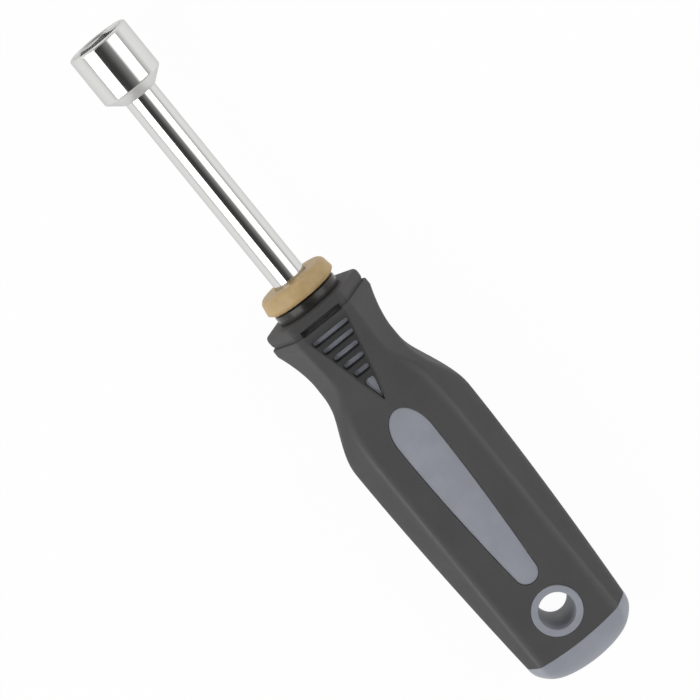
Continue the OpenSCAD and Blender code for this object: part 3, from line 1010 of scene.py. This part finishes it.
class NUTDRIVER_OT_socket(bpy.types.Operator):
    """Turn the chromed socket and broach its hex opening"""

    bl_idname = "nut_driver.socket"
    bl_label = "Socket"
    bl_options = {"REGISTER", "UNDO"}

    def execute(self, context):
        settings = context.scene.nut_driver
        handle = Handle(settings)
        steel = settings.steel
        low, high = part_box("socket")
        radius = (high.y - low.y) / 2
        flat = steel.hex_flat / 2
        floor = low.x + steel.hex_depth
        throat = steel.throat / 2
        throat_x = low.x + steel.lip_depth
        slope = steel.lead_len / (throat - flat)
        corner = steel.hex_turn - RIGHT_ANGLE
        sixth = FULL_TURN / HEX_SIDES
        angles = [corner + angle for angle in round_angles()]
        inside = [flat / math.cos((angle - corner) % sixth - sixth / 2) for angle in angles]

        def hex_ring(places):
            """A ring round the hex opening, with each point at its own place along the tool."""
            return [
                (x, reach * math.cos(angle), handle.axis + reach * math.sin(angle))
                for x, reach, angle in zip(places, inside, angles)
            ]

        rings = turned([(floor + steel.hex_dip, 0), (floor, flat * HEX_FLOOR_SHARE)], handle.axis, angles)
        rings.append(hex_ring([floor] * len(angles)))
        rings.append(hex_ring([throat_x + slope * (throat - reach) for reach in inside]))
        seat = high.x - steel.shaft_seat
        outside = soften([
            (throat_x, throat, 0),
            (low.x, steel.mouth / 2, (steel.mouth - steel.throat) / 2),
            (low.x, radius, steel.mouth_round),
            (high.x - steel.cone_len, radius, steel.mouth_round / 2),
            (high.x, handle.shaft_r + steel.cone_edge, steel.cone_edge / 2),
            (high.x, handle.shaft_r, 0),
            (seat, handle.shaft_r, 0),
            (seat, 0, 0),
        ])
        rings += turned(outside, handle.axis, angles)
        form = bmesh.new()
        skin(form, rings)
        piece = settle(form, "chromed_socket")
        mark(piece, "satin", lambda spot: math.hypot(spot.y, spot.z - handle.axis) < throat + WELD)
        present(piece, chrome_finish(settings.colours), "chromed_steel", "driver", "socket")
        return {"FINISHED"}


class NUTDRIVER_OT_shaft(bpy.types.Operator):
    """Plate the shaft with chrome"""

    bl_idname = "nut_driver.shaft"
    bl_label = "Shaft"
    bl_options = {"REGISTER", "UNDO"}

    def execute(self, context):
        colours = context.scene.nut_driver.colours
        refinish(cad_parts["shaft"], chrome_finish(colours))
        return {"FINISHED"}


class NUTDRIVER_OT_size_ring(bpy.types.Operator):
    """Mould the loose ring that shows the size by its colour"""

    bl_idname = "nut_driver.size_ring"
    bl_label = "Size ring"
    bl_options = {"REGISTER", "UNDO"}

    def execute(self, context):
        settings = context.scene.nut_driver
        handle = Handle(settings)
        steel = settings.steel
        low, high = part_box("size_ring")
        hole = handle.shaft_r + steel.ring_room
        seat = steel.spigot / 2 + steel.play
        back = high.x - steel.ring_relief
        fine = steel.ring_bevel * RING_ROUND_SHARE
        profile = soften([
            (low.x, hole, fine),
            (low.x, steel.ring_front / 2 - steel.ring_bevel, steel.ring_bevel / 2),
            (low.x + steel.ring_bevel, steel.ring_front / 2, steel.ring_bevel / 2),
            (back - steel.ring_back, (high.y - low.y) / 2, steel.ring_back / 2),
            (back, steel.neck / 2, fine),
            (back, seat, 0),
            (low.x + steel.ring_web, seat, 0),
            (low.x + steel.ring_web, hole, 0),
        ])
        form = bmesh.new()
        skin(form, turned(profile, handle.axis, round_angles()), wrap=True)
        piece = settle(form, "tan_size_ring")
        # The back slope is marked to be painted paler: painted light against the shade that it lies in, and a
        # worn edge
        mark(piece, "wear_and_sheen", lambda spot: spot.x > back - steel.ring_back)
        present(piece, ring_finish(settings.colours), "tan_ring", "ring", "size_ring")
        return {"FINISHED"}


class NUTDRIVER_OT_neck(bpy.types.Operator):
    """Turn the glossy neck between the ring and the bolster"""

    bl_idname = "nut_driver.neck"
    bl_label = "Neck"
    bl_options = {"REGISTER", "UNDO"}

    def execute(self, context):
        settings = context.scene.nut_driver
        handle = Handle(settings)
        steel = settings.steel
        low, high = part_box("neck_collar")
        ring_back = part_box("size_ring")[1].x
        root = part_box("front_bolster")[0].x
        neck = steel.neck / 2
        neck_x = ring_back + steel.end_play
        spigot = steel.spigot / 2
        tail = steel.tail / 2
        profile = soften([
            (low.x, handle.shaft_r, 0),
            (low.x, spigot, steel.neck_edge),
            (neck_x, spigot, 0),
            (neck_x, neck, steel.neck_edge),
            (root - steel.neck_root, neck, 0),
            (root, neck, 0),
            (handle.front, neck, 0),
            (handle.front, tail, 0),
            (high.x, tail, 0),
            (high.x, handle.shaft_r, 0),
        ])
        form = bmesh.new()
        skin(form, turned(profile, handle.axis, round_angles()), wrap=True)
        piece = settle(form, "gloss_neck")
        # The root is marked to be painted darker as the shade in front of the bolster, and made rougher
        mark(piece, "satin", lambda spot: part_way(spot.x, root - steel.neck_root, root))
        present(piece, neck_finish(settings.colours), "black_neck", "driver", "neck_collar")
        return {"FINISHED"}


class NUTDRIVER_OT_bolster(bpy.types.Operator):
    """Mould the faceted bolster with its groove and its two deep slots"""

    bl_idname = "nut_driver.bolster"
    bl_label = "Bolster"
    bl_options = {"REGISTER", "UNDO"}

    def execute(self, context):
        settings = context.scene.nut_driver
        handle = Handle(settings)
        sizes = settings.handle
        low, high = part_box("front_bolster")
        neck = settings.steel.neck / 2
        wide = (high.y - low.y) / 2
        thick = (high.z - low.z) / 2
        groove_x = high.x - sizes.groove_w
        fine = sizes.groove_depth / 2
        profile = []
        for i in range(SHOULDER_STEPS + 1):
            angle = RIGHT_ANGLE * i / SHOULDER_STEPS
            x = low.x + sizes.bolster_shoulder * (1 - math.cos(angle))
            profile.append((x, sizes.bolster_drop * (1 - math.sin(angle))))
        profile += soften([
            (groove_x, 0, fine),
            (high.x - fine, sizes.groove_depth, fine),
            (high.x, sizes.groove_depth, 0),
        ])
        rings = [handle.circle(low.x, neck)]
        for x, inset in profile:
            section = Section(wide, thick, sizes.bolster_flat, sizes.facet_lean, inset)
            rings.append([(x, y, handle.axis + z) for y, z in map(section.point, section.angles())])
        rings.append(handle.circle(high.x, neck))
        form = bmesh.new()
        skin(form, rings, wrap=True)
        piece = settle(form, "faceted_bolster")
        face = Section(wide, thick, sizes.bolster_flat, sizes.facet_lean)
        notch = notch_shape(sizes, groove_x, high.x + sizes.groove_w)
        levels = lip_levels(fine, sizes.notch_depth, sizes.groove_w)
        cutters = bmesh.new()
        for side in SIDES:
            plug(cutters, lambda x, y: face.height(y), handle.axis, notch, levels, side)
        cut(piece, settle(cutters, "notch_cutter"))
        present(piece, grip_finish(settings.colours, handle), "soft_grip", "driver", "front_bolster")
        return {"FINISHED"}


class NUTDRIVER_OT_core(bpy.types.Operator):
    """Finish the hard core that shows in the slots and raise its pads in the pointed pockets"""

    bl_idname = "nut_driver.core"
    bl_label = "Core"
    bl_options = {"REGISTER", "UNDO"}

    def execute(self, context):
        settings = context.scene.nut_driver
        handle = Handle(settings)
        face = settings.face
        finish = hard_finish(settings.colours)
        refinish(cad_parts["handle_core"], finish)
        wall = settings.handle.grip_wall
        draft = pocket_draft(face)
        levels = [
            (-draft, wall, 1),
            (-draft, wall, 0),
            (-draft, face.pocket_deep, 0),
            (-draft, face.pocket_deep, 1),
        ]
        form = bmesh.new()
        for side in SIDES:
            plug(form, handle.height, handle.axis, pocket_shape(face, handle), levels, side)
        present(settle(form, "core_pads"), finish, "grey_plastic", "driver")
        return {"FINISHED"}


class NUTDRIVER_OT_grip(bpy.types.Operator):
    """Mould the soft grip with its slots, pocket and openings"""

    bl_idname = "nut_driver.grip"
    bl_label = "Soft grip"
    bl_options = {"REGISTER", "UNDO"}

    def execute(self, context):
        settings = context.scene.nut_driver
        handle = Handle(settings)
        form = bmesh.new()
        skin(form, self.rings(settings.handle, handle), wrap=True)
        piece = settle(form, "soft_grip")
        cut(piece, self.cutters(settings, handle))
        # The ridges are marked as polished by handling, and to be painted paler as a highlight
        mark(piece, "wear_and_sheen", handle.wear_and_sheen)
        present(piece, grip_finish(settings.colours, handle), "soft_grip", "driver", "grip")
        return {"FINISHED"}

    def rings(self, sizes, handle):
        """Rings along the outside to the end joint, then back along the core."""
        edge = sizes.edge
        fine = sizes.seam_edge
        start = handle.front + edge
        bend = handle.hang_x - handle.bush_r
        back = handle.seam + handle.bow
        rings = []
        for i in range(CORNER_STEPS):
            angle = RIGHT_ANGLE * i / CORNER_STEPS
            x = handle.front + edge * (1 - math.cos(angle))
            rings.append(handle.ring(x, edge * (1 - math.sin(angle))))
        outer = [
            start,
            *spread(start, handle.flange - edge, FLANGE_RINGS),
            *spread(handle.flange - edge, handle.flange + edge, BEND_RINGS),
            *spread(handle.flange + edge, handle.waist, HOLLOW_RINGS),
            *spread(handle.waist, handle.rise, WAIST_RINGS),
            *spread(handle.rise, handle.belly, RISE_RINGS),
            *spread(handle.belly, bend, TAPER_RINGS),
        ]
        rings += [handle.ring(x) for x in outer]
        for x in spread(bend, back - fine, SEAM_RINGS):
            rings.append(handle.ring(x, bow=part_way(x, bend, back)))
        rings.append(handle.ring(back, inset=fine, bow=1))
        inner = [
            back,
            *spread(back, bend, INNER_SEAM_RINGS),
            *spread(bend, handle.front, INNER_RINGS),
        ]
        rings += [handle.ring(x, sizes.grip_wall, part_way(x, bend, back)) for x in inner]
        return rings

    def cutters(self, settings, handle):
        """Everything that is cut from the grip, as one object."""
        sizes = settings.handle
        face = settings.face
        above = sizes.overrun
        deep = sizes.grip_wall + sizes.overrun
        slotted = lip_levels(sizes.lip, deep, above, face.slot_draft)
        pointed = lip_levels(sizes.lip, deep, above, pocket_draft(face))
        notched = lip_levels(sizes.seam_edge, sizes.grip_wall - sizes.notch_skin, above)
        opened = lip_levels(sizes.seam_edge, deep, above)
        notch = notch_shape(sizes, handle.front - sizes.groove_w, handle.front + sizes.notch_run)
        cuts = [(slot_shape(face, handle, i), slotted) for i in range(SLOT_COUNT)]
        cuts.append((notch, notched))
        cuts.append((pocket_shape(face, handle), pointed))
        cuts.append((window_shape(face, handle), opened))
        form = bmesh.new()
        for side in SIDES:
            for shape, levels in cuts:
                plug(form, handle.height, handle.axis, shape, levels, side)
        reach = handle.thicks[0] + above
        hole = [(0, -reach), (handle.bush_r, -reach), (handle.bush_r, reach), (0, reach)]
        rings = []
        for radius, z in hole:
            rings.append([
                (handle.hang_x + radius * math.cos(angle), radius * math.sin(angle), handle.axis + z)
                for angle in round_angles()
            ])
        skin(form, rings)
        return settle(form, "grip_cutters")


class NUTDRIVER_OT_windows(bpy.types.Operator):
    """Mould the slightly crowned inlays that fill the windows"""

    bl_idname = "nut_driver.windows"
    bl_label = "Windows"
    bl_options = {"REGISTER", "UNDO"}

    def execute(self, context):
        settings = context.scene.nut_driver
        handle = Handle(settings)
        face = settings.face
        wall = settings.handle.grip_wall
        edge = settings.handle.seam_edge
        crown = face.window_crown
        gap = -face.window_gap
        levels = [(gap, wall, 1), (gap, wall, 0)]
        for i in range(CORNER_STEPS + 1):
            angle = RIGHT_ANGLE * i / CORNER_STEPS
            levels.append((gap - edge * (1 - math.cos(angle)), crown + edge * (1 - math.sin(angle)), 0))
        levels += [(gap - edge, crown * (1 - draw) ** 2, draw) for draw in spread(0, 1, CROWN_STEPS)]
        names = (("front_inlay", "front_window"), ("rear_inlay", "rear_window"))
        for side, (name, node) in zip(SIDES, names):
            form = bmesh.new()
            plug(form, handle.height, handle.axis, window_shape(face, handle), levels, side)
            piece = settle(form, name)
            present(piece, hard_finish(settings.colours), "grey_plastic", "driver", node)
        return {"FINISHED"}


class NUTDRIVER_OT_bush(bpy.types.Operator):
    """Mould the bush round the hang hole"""

    bl_idname = "nut_driver.bush"
    bl_label = "Hang bush"
    bl_options = {"REGISTER", "UNDO"}

    def execute(self, context):
        settings = context.scene.nut_driver
        handle = Handle(settings)
        face = settings.face
        edge = settings.handle.seam_edge
        outside = handle.bush_r - face.window_gap
        hole = face.hang_hole / 2
        mouth = face.hang_mouth / 2
        front, back = SIDES
        profile = [
            (outside, edge, front),
            (outside - edge, 0, front),
            (mouth + 2 * edge, 0, front),
            (mouth + edge / 2, edge / 2, front),
            (mouth, 2 * edge, front),
            (hole, face.hang_land, back),
            (hole, edge, back),
            (hole + edge, 0, back),
            (outside - edge, 0, back),
            (outside, edge, back),
        ]
        rings = []
        for radius, depth, side in profile:
            ring = []
            for angle in round_angles():
                x = handle.hang_x + radius * math.cos(angle)
                y = radius * math.sin(angle)
                ring.append((x, y, handle.axis + side * (handle.height(x, y) - depth)))
            rings.append(ring)
        form = bmesh.new()
        skin(form, rings, wrap=True)
        piece = settle(form, "hang_ring")
        present(piece, hard_finish(settings.colours), "grey_plastic", "driver", "hang_bush")
        return {"FINISHED"}


class NUTDRIVER_OT_cap(bpy.types.Operator):
    """Mould the rounded end cap"""

    bl_idname = "nut_driver.cap"
    bl_label = "End cap"
    bl_options = {"REGISTER", "UNDO"}

    def execute(self, context):
        settings = context.scene.nut_driver
        handle = Handle(settings)
        sizes = settings.handle
        fine = sizes.seam_edge
        spigot = sizes.spigot / 2
        front = handle.seam + handle.bow
        bottom = front + sizes.cap_side_len
        rings = [
            handle.circle(bottom, 0),
            handle.circle(bottom, spigot),
            handle.circle(front, spigot, bow=1),
            handle.ring(front, inset=fine, bow=1),
        ]
        for i in range(DOME_STEPS):
            part = math.sin(RIGHT_ANGLE * i / DOME_STEPS)
            x = mix(front + fine, handle.end, part)
            rings.append(handle.ring(x, bow=1 - smooth(part_way(part, 0, BOW_SHARE))))
        rings.append(handle.circle(handle.end, 0))
        form = bmesh.new()
        skin(form, rings)
        piece = settle(form, "rounded_end_cap")
        present(piece, hard_finish(settings.colours), "grey_plastic", "driver", "end_cap")
        return {"FINISHED"}


class NUTDRIVER_OT_stage(bpy.types.Operator):
    """Set up the floor, the light and the camera"""

    bl_idname = "nut_driver.stage"
    bl_label = "Stage"
    bl_options = {"REGISTER", "UNDO"}

    def execute(self, context):
        settings = context.scene.nut_driver
        self.add_floor(settings.colours)
        self.add_light(context.scene, settings.colours)
        self.add_camera(context.scene, Handle(settings))
        context.scene.view_settings.view_transform = "Standard"
        return {"FINISHED"}

    def add_floor(self, colours):
        """A wide floor at the tool's lowest point."""
        form = bmesh.new()
        bmesh.ops.create_grid(form, x_segments=FLOOR_STEPS, y_segments=FLOOR_STEPS, size=FLOOR_SIZE)
        floor = settle(form, "floor")
        floor.data.materials.append(floor_finish(colours))

    def add_light(self, scene, colours):
        """Two long light boxes beside a dim strip overhead, in a pale surround."""
        scene.world = bpy.data.worlds.new("studio")
        scene.world.use_nodes = True
        weave = Weave(scene.world.node_tree)
        heading = weave.add("ShaderNodeTexCoord", out="Generated")
        along = weave.coordinate(heading, "X")
        across = along.other("Y")
        lean = across.calc("ARCTAN2", across, along.other("Z"))
        mirrored = 0 - lean
        end_on = abs(along)
        right = self.light_box(weave, lean, end_on, RIGHT_NEAR, RIGHT_FAR, RIGHT_REACH)
        left = self.light_box(weave, mirrored, end_on, LEFT_NEAR, LEFT_FAR, LEFT_REACH)
        overhead = (1 - self.rise(weave, lean, RIGHT_FADE)) * (1 - self.rise(weave, mirrored, LEFT_FADE))
        dim = colours.top_light * (1 + GLOW * self.rise(weave, lean, GLOW_SPAN))
        surround = colours.side_light * (1 - overhead) + overhead * dim
        boxes = colours.right_light * right + colours.left_light * left
        studio = surround * (1 - right - left) + boxes
        ends = weave.ramp(end_on, *END_FADE)
        level = studio * (1 - ends) + colours.side_light * ends
        camera = weave.add("ShaderNodeLightPath", out="Is Camera Ray")
        shown = camera + level * (1 - camera)
        background = weave.add("ShaderNodeBackground", sockets={"Color": shown})
        weave.add("ShaderNodeOutputWorld", sockets={"Surface": background})

    def rise(self, weave, lean, degrees):
        """An ease from 0 to 1 between two angles from overhead."""
        return weave.ramp(lean, *map(math.radians, degrees))

    def light_box(self, weave, lean, end_on, near, far, reach):
        """1 in a long light box, fading to 0 beside it and towards its ends."""
        across = self.rise(weave, lean, near) * (1 - self.rise(weave, lean, far))
        return across * weave.ramp(end_on, *reach, low=1.0, high=0.0)

    def add_camera(self, scene, handle):
        """A distant camera over the tool, leaning towards the socket."""
        lean = math.radians(CAMERA_LEAN)
        roll = math.radians(CAMERA_ROLL)
        turn = math.radians(CAMERA_TURN)
        back = Vector((-math.sin(lean) * math.cos(roll), math.sin(roll), math.cos(lean) * math.cos(roll)))
        tool = Vector((1, 0, 0))
        along = (tool - back * tool.dot(back)).normalized()
        across = back.cross(along)
        right = along * math.cos(turn) + across * math.sin(turn)
        up = across * math.cos(turn) - along * math.sin(turn)
        aim = Vector((AIM_X * MM, AIM_Y * MM, handle.axis))
        camera = bpy.data.objects.new("camera", bpy.data.cameras.new("camera"))
        camera.data.lens = LENS
        camera.data.sensor_width = SENSOR
        camera.data.clip_end = CLIP_END
        axes = Matrix((right, up, back)).transposed().to_4x4()
        camera.matrix_world = Matrix.Translation(aim + back * CAMERA_DISTANCE) @ axes
        scene.collection.objects.link(camera)
        scene.camera = camera


class NUTDRIVER_PT_pieces(bpy.types.Panel):
    """Lists the pieces and their settings in the sidebar"""

    bl_label = "Nut Driver"
    bl_idname = "NUTDRIVER_PT_pieces"
    bl_space_type = "VIEW_3D"
    bl_region_type = "UI"
    bl_category = "Nut Driver"

    def draw(self, context):
        column = self.layout.column(align=True)
        for operator in OPERATORS:
            column.operator(operator.bl_idname)
        settings = context.scene.nut_driver
        for group in (settings.steel, settings.handle, settings.face, settings.colours):
            box = self.layout.box()
            for name in group.__annotations__:
                box.prop(group, name)


OPERATORS = (
    NUTDRIVER_OT_stage,
    NUTDRIVER_OT_socket,
    NUTDRIVER_OT_shaft,
    NUTDRIVER_OT_size_ring,
    NUTDRIVER_OT_neck,
    NUTDRIVER_OT_bolster,
    NUTDRIVER_OT_core,
    NUTDRIVER_OT_grip,
    NUTDRIVER_OT_windows,
    NUTDRIVER_OT_bush,
    NUTDRIVER_OT_cap,
)
CLASSES = (SteelSizes, HandleSizes, FaceSizes, Colours, DriverSettings, *OPERATORS, NUTDRIVER_PT_pieces)


def register():
    """Adds the classes and the settings to Blender."""
    for each in CLASSES:
        bpy.utils.register_class(each)
    bpy.types.Scene.nut_driver = PointerProperty(type=DriverSettings)


def unregister():
    """Takes the settings and the classes out again."""
    del bpy.types.Scene.nut_driver
    for each in reversed(CLASSES):
        bpy.utils.unregister_class(each)


def main():
    """Adds the classes and the settings, then builds every piece in order."""
    register()
    for operator in OPERATORS:
        group, name = operator.bl_idname.split(".")
        getattr(getattr(bpy.ops, group), name)()


if __name__ == "__main__":
    main()
